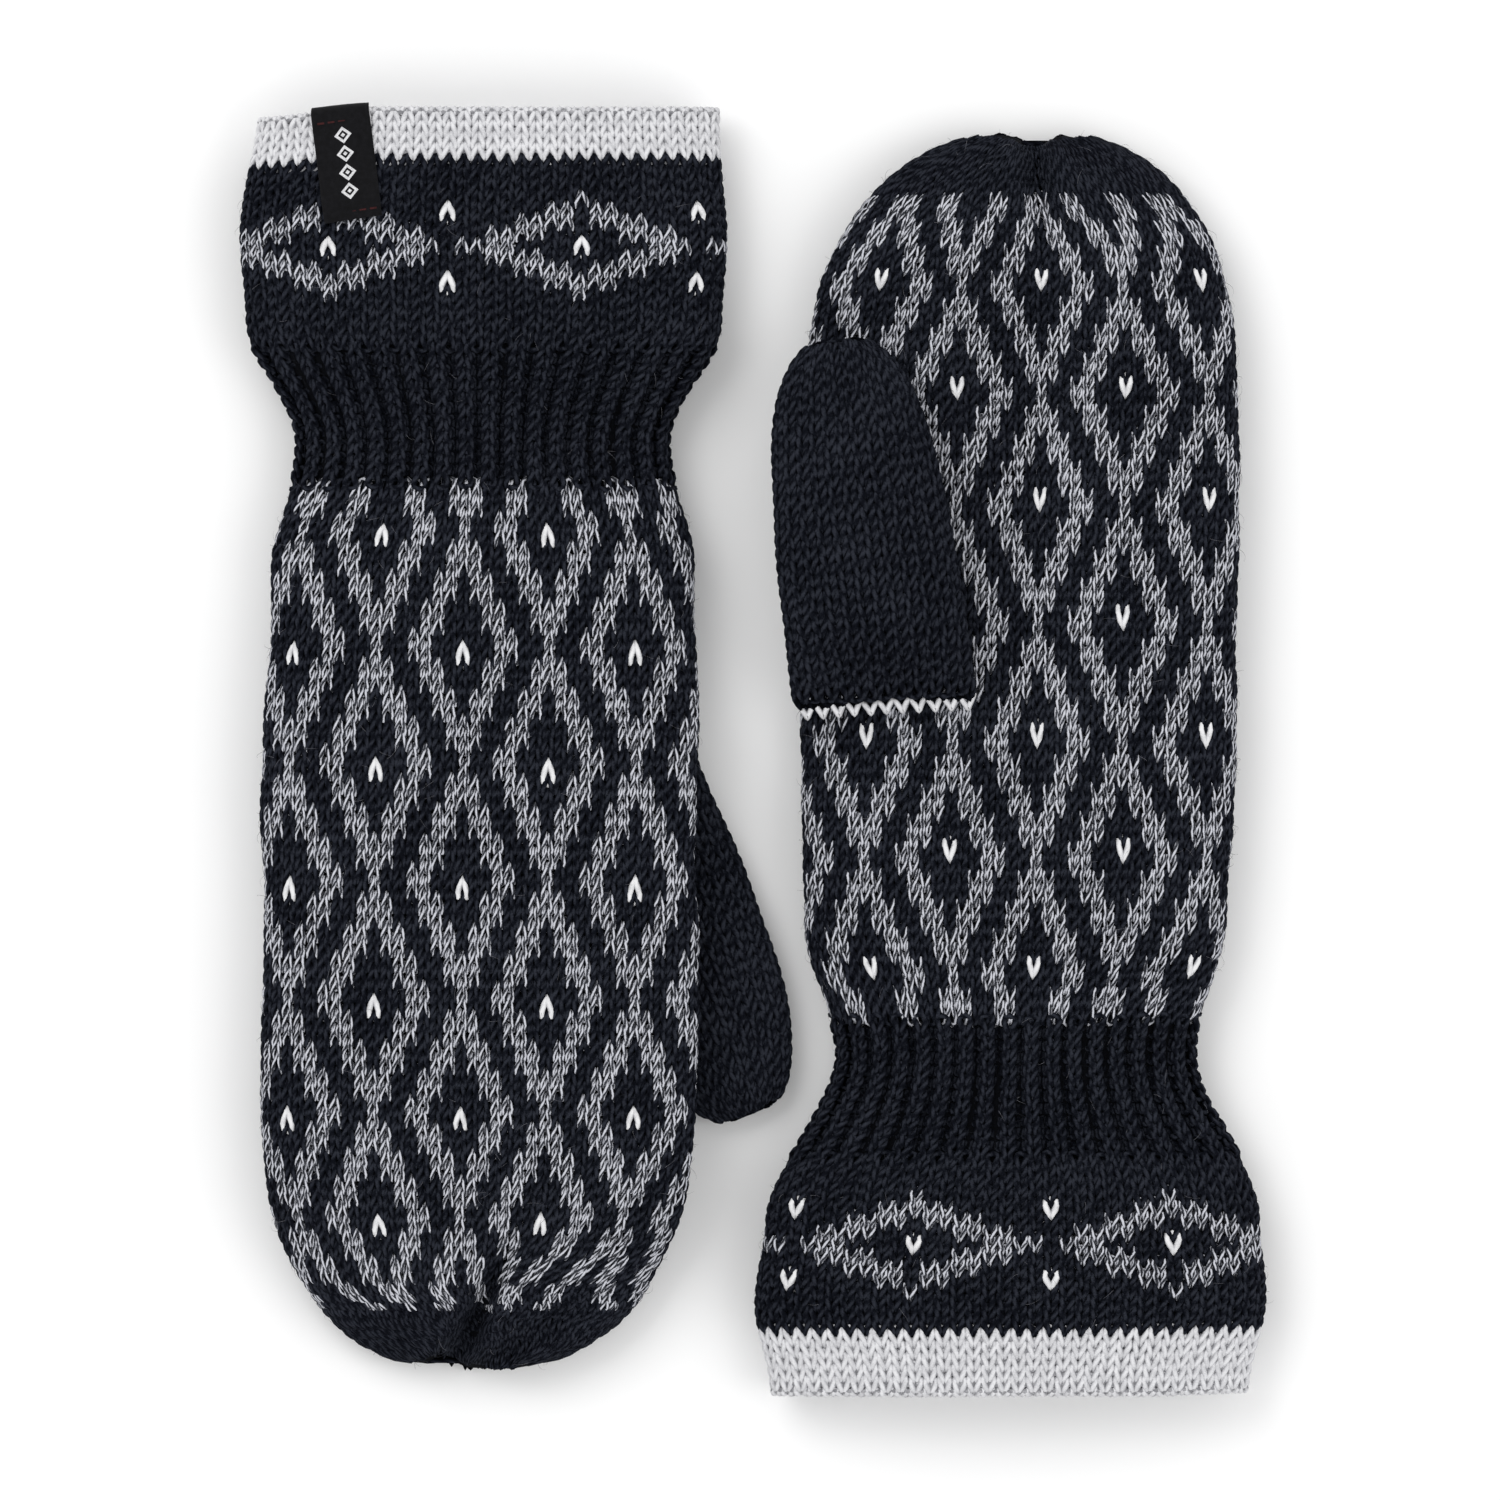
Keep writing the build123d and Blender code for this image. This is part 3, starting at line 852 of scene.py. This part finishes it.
def cuff_colours(mitten, rows):
    """The colour of every cuff stitch: a round of long eyes, each round a dot, with two dots between them."""
    wales = np.arange(CUFF["wales"])[None, :]
    half = EYE_WALES // 2
    row = mitten["eye_course"] - np.arange(len(rows))[:, None]
    column = (wales - EYE_WALE + half) % EYE_WALES - half
    lid = EYE_HALF_HEIGHT + 0.5 - (np.abs(column) + 1) // 2
    outline = (np.abs(np.abs(row) - lid) <= 0.5) & (np.abs(column) <= EYE_HALF_LENGTH)
    outline &= (column != 0) | (row != EYE_HALF_HEIGHT)
    corners = (row == 0) & ((np.abs(column) == half - 1) | (column == -half))
    colours = np.where(outline | corners, 1, 0)
    colours[(row == 0) & (column == 0)] = 2
    colours[(np.abs(row) == EYE_HALF_HEIGHT) & (column == half)] = 2
    return colours


def add_knit(prefix, rings, colours, body, replaced, bend=None, splits=(1, 1, 1), ground=(NAVY, "main_yarn")):
    """Pieces of knitted yarn for each colour. splits says into how many stretches each colour is divided, and
    ground is the material of colour 0 and then a slot name, which is not used."""
    finishes = ((*ground, "yarn"), (MARL, "band_yarn", "marl"), (DOT, "band_yarn", "dots"))
    for colour, (material, slot, label) in enumerate(finishes):
        for number, stretch in enumerate(np.array_split(np.arange(len(rings)), splits[colour])):
            chosen = colours[stretch] == colour
            if not chosen.any():
                continue
            name = f"{prefix}_{label}" if splits[colour] == 1 else f"{prefix}_{label}_{number + 1}"
            stands_for = replaced if colour == 0 and number == 0 else ()
            finish_piece(yarn_mesh(name, rings[stretch], chosen), material, body, slot, stands_for, bend)


def course_rows(start, end, gauge):
    """The middles of whole courses that fill a stretch, and their spacing."""
    count = round((end - start) / gauge["course"])
    spacing = (end - start) / count
    return start + spacing * (np.arange(count) + 0.5), np.full(count, spacing)


def hand_rows(skin):
    """The middles of the hand's courses and their spacings, which close up where the crown turns down."""
    middle = skin.COLUMNS // 2
    slopes = np.linalg.norm(np.gradient(skin.grid[:, middle], skin.rows, axis=0), axis=1)
    rows = []
    spacings = []
    s = RIB_END
    while s < LENGTH - TIP_OPENING:
        pitch = HAND["course"] + (CROWN_COURSE - HAND["course"]) * smooth(s, SHOULDER - 20.0, SHOULDER)
        spacing = pitch / np.interp(s, skin.rows, slopes)
        rows.append(s + spacing / 2)
        spacings.append(spacing)
        s += spacing
    return np.array(rows), np.array(spacings)


def skin_rows(start, closing, end, count, last_turn):
    """The rows of a skin: even ones up to closing, then closer and closer ones towards its gathered end."""
    turns = np.linspace(0, last_turn, count)
    return np.concatenate([np.arange(start, closing, SKIN_STEP), end - (end - closing) * np.cos(turns)])


def layer_rows(start, closing, end, count):
    """The rows of a layer under the yarn: even ones up to closing, then closer and closer ones to its end."""
    turns = np.linspace(0, math.pi / 2, count)
    return np.concatenate([np.arange(start, closing, LAYER_STEP), closing + (end - closing) * np.sin(turns)])


def pleats(share, count):
    """1 in the grooves between gathered pleats, 0 on their crests."""
    return (1 - np.cos(2 * math.pi * count * share)) / 2


def add_mitten(mitten):
    """The cuff, the hand and their linings. Returns the skin."""
    side = mitten["name"]
    body = f"{side}_mitten"
    band_end = mitten["band_end"]
    lumps = ripple(7, 45.0, 110.0)
    creases = ripple(6, 14.0, 30.0)

    def relief(s, share):
        flutes = np.sin(2 * math.pi * FLUTES * share + 3 * np.sin(2 * math.pi * share))
        uneven_share = share + 0.02 * np.sin(6 * math.pi * share)
        gathers = smooth(s, *TIP_RUN) * pleats(uneven_share, HAND_PLEATS)
        rumples = LUMP_HEIGHT * lumps(s, share) + CREASE_HEIGHT * creases(s, share)
        return rumples + FLUTE_HEIGHT * bell(s, WAIST, WAIST_WIDTH) * flutes - PLEAT_DEPTH * gathers

    rows = skin_rows(0, LENGTH - HAND_CLOSING, LENGTH, 60, 0.496 * math.pi)
    skin = Skin(lambda s, turns: hand_ring(mitten, s, 0.0, turns), rows, relief)

    band_rows, band_spacing = course_rows(0, band_end, BAND)
    inside = -BAND["course"] * (np.arange(BAND_TURNED_IN)[::-1] + 0.5)
    band_rows = np.concatenate([inside, band_rows])
    band_spacing = np.concatenate([np.full(BAND_TURNED_IN, BAND["course"]), band_spacing])
    plain = np.zeros((len(band_rows), BAND["wales"]), dtype=int)
    rings = knit(skin, BAND, band_rows, band_spacing, plain)
    add_knit(f"{side}_band", rings, plain, body, [f"{side}_cuff_band"], ground=(PALE, "band_yarn"))

    cuff_rows, cuff_spacing = course_rows(band_end, CUFF_END, CUFF)
    colours = cuff_colours(mitten, cuff_rows)
    rings = knit(skin, CUFF, cuff_rows, cuff_spacing, colours)
    add_knit(f"{side}_cuff", rings, colours, body, [f"{side}_cuff"])

    rib_rows, rib_spacing = course_rows(CUFF_END, RIB_END, RIB)
    plain = np.zeros((len(rib_rows), RIB["wales"]), dtype=int)
    rings = knit(skin, RIB, rib_rows, rib_spacing, plain, ribbed=True)
    add_knit(f"{side}_rib", rings, plain, body, [f"{side}_wrist_rib"])

    palm_rows, palm_spacing = hand_rows(skin)
    colours = hand_colours(mitten, palm_rows)
    rings = knit(skin, HAND, palm_rows, palm_spacing, colours)
    add_knit(f"{side}_hand", rings, colours, body, [f"{side}_hand_shell"], splits=(4, 2, 1))

    def ring(s, inset, turns):
        return hand_ring(mitten, s, inset + TIP_INSET * smooth(s, *TIP_RUN), turns)

    facing_end = band_end + 0.5
    facing_rows = np.append(np.arange(2.0, facing_end, LAYER_STEP), facing_end)
    floats_rows = layer_rows(facing_end, SHOULDER, LENGTH - 0.5, 24)
    pile_rows = layer_rows(band_end - 1.0, SHOULDER, LENGTH - 2.0, 24)
    for name, material, slot, stops, depths, closed_end, replaced in (
        ("band_facing", PALE_FLOATS, "band_yarn", facing_rows, BAND_FACING, False, ()),
        ("floats", NAVY_FLOATS, "main_yarn", floats_rows, FLOATS, True, ()),
        ("pile", PILE, "lining_pile", pile_rows, LINING, True, [f"{side}_hand_lining"]),
    ):
        piece = layer_mesh(f"{side}_{name}", ring, stops, depths, closed_end)
        finish_piece(piece, material, body, slot, replaced)
    return skin


def add_thumb(mitten):
    """The thumb and its lining."""
    side = mitten["name"]
    body = f"{side}_thumb"
    length = mitten["thumb_length"]
    _, outwards = thumb_directions(mitten)
    base = thumb_base(mitten)
    base[2] = mitten["thumb_bottom"] + mitten["thumb_half_thickness"][0][1]
    bend = (f"{side}_mitten", body, tuple(base * MM), tuple((base + BEND_LENGTH * outwards) * MM))
    lumps = ripple(6, 25.0, 70.0)

    def relief(out, share):
        gathers = smooth(out, length - THUMB_PLEAT_RUN, length) * pleats(share, THUMB_PLEATS)
        return THUMB_LUMP_HEIGHT * lumps(out, share) - PLEAT_DEPTH * gathers

    closing = length - THUMB_CLOSING
    rows = skin_rows(THUMB_BASE_RUN[0], closing, length, 40, 0.49 * math.pi)
    skin = Skin(lambda out, turns: thumb_ring(mitten, out, 0.0, turns), rows, relief)
    first = mitten["row_centre"] + THUMB_FIRST_COURSE
    thumb_rows, spacing = course_rows(first, length - THUMB_END_MARGIN, THUMB)
    plain = np.zeros((len(thumb_rows), THUMB["wales"]), dtype=int)
    rings = knit(skin, THUMB, thumb_rows, spacing, plain, depth=THUMB_FABRIC_DEPTH)
    add_knit(f"{side}_thumb", rings, plain, body, [f"{side}_thumb_shell"], bend)

    def ring(out, inset, turns):
        return thumb_ring(mitten, out, inset, turns)

    stops = layer_rows(THUMB_LAYER_START, closing, length - THUMB_LAYER_GAP, 16)
    for name, material, slot, depths, replaced in (
        ("thumb_floats", NAVY_FLOATS, "main_yarn", THUMB_FLOATS, ()),
        ("thumb_pile", PILE, "lining_pile", THUMB_LINING, [f"{side}_thumb_lining"]),
    ):
        piece = layer_mesh(f"{side}_{name}", ring, stops, depths, True)
        finish_piece(piece, material, body, slot, replaced, bend)


def add_join_row(mitten):
    """The row of pale stitches where the thumb starts: one yarn in an open zigzag."""
    across, outwards = thumb_directions(mitten)
    stitches = ROW["wales"]
    turn = np.tile(np.linspace(-math.pi, math.pi, RINGS_PER_STITCH, endpoint=False), stitches)
    wale = np.repeat(np.arange(stitches), RINGS_PER_STITCH) - (stitches - 1) / 2
    jitter = np.repeat(rng.uniform(-ROW["jitter"], ROW["jitter"], stitches), RINGS_PER_STITCH)
    steps = wale + turn / (2 * math.pi) - ROW["swing"] * np.sin(2 * turn)
    place = ROW_LENGTH / stitches * steps + jitter
    out = mitten["row_centre"] - ROW["reach"] * np.cos(turn) + mitten["row_slope"] * place + jitter
    centres = thumb_base(mitten) + place[:, None] * across + out[:, None] * outwards
    tilt = ROW["tilt"] * np.minimum(np.cos(turn), ROW["crest"])
    centres[:, 2] = mitten["row_bottom"] + mitten["row_rise"] + tilt
    up = np.broadcast_to(np.array([0.0, 0.0, 1.0]), centres.shape)
    rings = tube_rings(centres, up, np.full(len(centres), ROW["radius"]), closed=False)[None]
    side = mitten["name"]
    row = yarn_mesh(f"{side}_join_row", rings, np.ones((1, stitches), dtype=bool), closed=False)
    finish_piece(row, PALE, mitten["row_body"], "band_yarn", [f"{side}_thumb_join_row"])


def add_gathers(mitten):
    """The loops of yarn that draw the tips together."""
    side = mitten["name"]
    x = mitten["x"] + mitten["lean"] * LENGTH + mitten["facing"] * mitten["gather_u"]
    y = mitten["facing"] * (MOUTH_Y - LENGTH + HAND_GATHER_SUNK)
    centre = np.array([x, y, TIP_HALF_THICKNESS + HAND_GATHER_LIFT])
    hand = upright_loop(f"{side}_tip_yarn", centre, np.array([1.0, 0.0, 0.0]), HAND_GATHER)
    finish_piece(hand, NAVY, f"{side}_mitten", "main_yarn", [f"{side}_tip_gather"])
    across, outwards = thumb_directions(mitten)
    centre = thumb_base(mitten) + (mitten["thumb_length"] - THUMB_GATHER_SUNK) * outwards
    centre[2] = mitten["thumb_bottom"] + THUMB_TIP_HALF_THICKNESS + THUMB_GATHER_LIFT
    thumb = upright_loop(f"{side}_thumb_tip_yarn", centre, across, THUMB_GATHER)
    finish_piece(thumb, NAVY, f"{side}_thumb", "main_yarn", [f"{side}_thumb_tip_gather"])


def label_share(skin, mitten, u, s):
    """The share of the way round the skin of a point on the upper face, from its place across the hand."""
    rows = np.maximum(s, 0.0)
    shares = np.linspace(0.27, 0.73, 200)
    table = skin.at(np.full_like(shares, float(rows.mean())), shares)[0][:, 0]
    across = mitten["facing"] * (table - mitten["x"] - mitten["lean"] * rows.mean())
    return np.interp(u, across, shares)


def add_label(skin, mitten):
    """The woven label: a ribbon over the band, round its edge and a little way back inside."""
    lean = math.radians(LABEL_LEAN)
    total = LABEL_LENGTH + math.pi * ROLL_RADIUS + LABEL_INSIDE
    rows, columns = 96, 17
    down = np.linspace(0, total, rows)
    across = np.linspace(-LABEL_WIDTH / 2, LABEL_WIDTH / 2, columns)
    faces_out = []
    for height in LABEL_HEIGHTS:
        face = []
        for distance in down:
            from_middle = LABEL_LENGTH / 2 - distance
            u = LABEL_CENTRE_U + across * math.cos(lean) + from_middle * math.sin(lean)
            s = LABEL_LENGTH / 2 + from_middle * math.cos(lean) - across * math.sin(lean)
            points, normals = skin.at(s, label_share(skin, mitten, u, s))
            wave = LABEL_WAVE_HEIGHT * math.sin(distance / LABEL_WAVE_LENGTH)
            bulge = LABEL_BULGE_HEIGHT * bell(distance, LABEL_BULGE_PLACE, LABEL_BULGE_WIDTH)
            face.append(points + normals * (height + wave + bulge))
        faces_out.append(face)
    under, over = np.array(faces_out)
    points = np.concatenate([over.reshape(-1, 3), under.reshape(-1, 3)])
    count = rows * columns
    index = np.arange(count).reshape(rows, columns)
    top = np.stack([index[:-1, :-1], index[1:, :-1], index[1:, 1:], index[:-1, 1:]], axis=-1).reshape(-1, 4)
    bottom = top[:, ::-1] + count
    edge = np.concatenate([index[0], index[1:, -1], index[-1, -2::-1], index[-2:0:-1, 0]])
    after = np.roll(edge, -1)
    rim = np.stack([edge, after, after + count, edge + count], axis=-1)
    quads = np.concatenate([top, bottom, rim])
    flat = np.stack([np.tile(across, rows), np.repeat(down, columns)], axis=-1) * 0.1
    flat = np.concatenate([flat, flat])
    piece = write_mesh("woven_label", points, [quads], {"label": flat[quads.ravel()]})
    finish_piece(piece, LABEL, "left_mitten", "label_weave", ["label"])
    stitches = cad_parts["label_stitches"]
    for slot in stitches.material_slots:
        slot.material = THREAD


def add_fibres(name, skin, count, reach, material, body):
    """Fine loose fibres that stand out of the yarn, each a thin bent tube."""
    distance = rng.uniform(*FIBRE_RUN, (count, 1))
    share = rng.uniform(0, 1, (count, 1))
    base, normals = skin.at(distance, share)
    around = np.cross(normals, rng.standard_normal((count, 1, 3)))
    around /= np.linalg.norm(around, axis=-1, keepdims=True)
    aside = np.cross(normals, around)
    length = rng.uniform(0.5, 1.0, (count, 1, 1)) * reach
    rise = rng.uniform(0.05, 0.5, (count, 1, 1)) * length
    curl = rng.uniform(-0.6, 0.6, (count, 1, 1)) * length
    step = np.linspace(0, 1, 7)[None, :, None]
    height = rise * np.sin(2.4 * step) - 0.5
    path = base + around * length * step + normals * height + aside * curl * step**2
    normals = np.broadcast_to(normals, path.shape)
    taper = FIBRE_RADIUS * (1 - 0.75 * step[..., 0]) * np.ones((count, 1))
    rings = tube_rings(path, normals, taper, closed=False)[:, :, ::2]
    rings[..., 2] = np.maximum(rings[..., 2], 0.0)
    piece = yarn_mesh(name, rings, np.ones((count, 1), dtype=bool), closed=False)
    finish_piece(piece, material, body, "main_yarn")


skins = {}
for mitten in (LEFT, RIGHT):
    side = mitten["name"]
    skins[side] = add_mitten(mitten)
    add_thumb(mitten)
    add_join_row(mitten)
    add_gathers(mitten)
    for tone, count, reach, material in (("light", 350, 3.6, LIGHT_FIBRE), ("dark", 2600, 3.2, DARK_FIBRE)):
        add_fibres(f"{side}_{tone}_fibres", skins[side], count, reach, material, f"{side}_mitten")
add_label(skins["left"], LEFT)


# Floor, light and camera -----------------------------------------------------------------------------------


def add_floor():
    """A plain pale floor, a hair under the mittens."""
    bpy.ops.mesh.primitive_plane_add(size=6.0, location=(0, 0, -0.0004))
    floor = bpy.context.object
    floor.name = "floor"
    material, _, shader = new_material("floor", 0.9, 0.0, 0.25)
    shader.inputs["Base Color"].default_value = (0.93, 0.93, 0.93, 1.0)
    floor.data.materials.append(material)


def add_area_light(name, location, power):
    """A soft square light that faces the mittens."""
    data = bpy.data.lights.new(name, "AREA")
    data.size = LIGHT_SIZE
    data.energy = power
    light = bpy.data.objects.new(name, data)
    light.location = location
    direction = -light.location
    light.rotation_euler = direction.to_track_quat("-Z", "Y").to_euler()
    bpy.context.scene.collection.objects.link(light)


def add_camera():
    """Looks straight down through a long lens. The fabric's height is where the view is FRAMED_WIDTH wide."""
    data = bpy.data.cameras.new("camera")
    data.sensor_width = 36.0
    data.lens = data.sensor_width * (CAMERA_PLACE[2] - FRAMED_HEIGHT) / FRAMED_WIDTH
    data.clip_end = 20.0
    camera = bpy.data.objects.new("camera", data)
    camera.location = CAMERA_PLACE
    bpy.context.scene.collection.objects.link(camera)
    bpy.context.scene.camera = camera


def add_world():
    """Even, soft studio light from all round."""
    world = bpy.data.worlds.new("studio")
    world.use_nodes = True
    background = world.node_tree.nodes["Background"]
    background.inputs["Color"].default_value = (1.0, 1.0, 1.0, 1.0)
    background.inputs["Strength"].default_value = WORLD_STRENGTH
    bpy.context.scene.world = world
    bpy.context.scene.view_settings.view_transform = "Standard"


add_floor()
add_world()
add_area_light("key", (-0.9, 0.9, 1.6), 13.0)
add_area_light("fill", (1.2, -0.4, 1.4), 7.0)
add_camera()
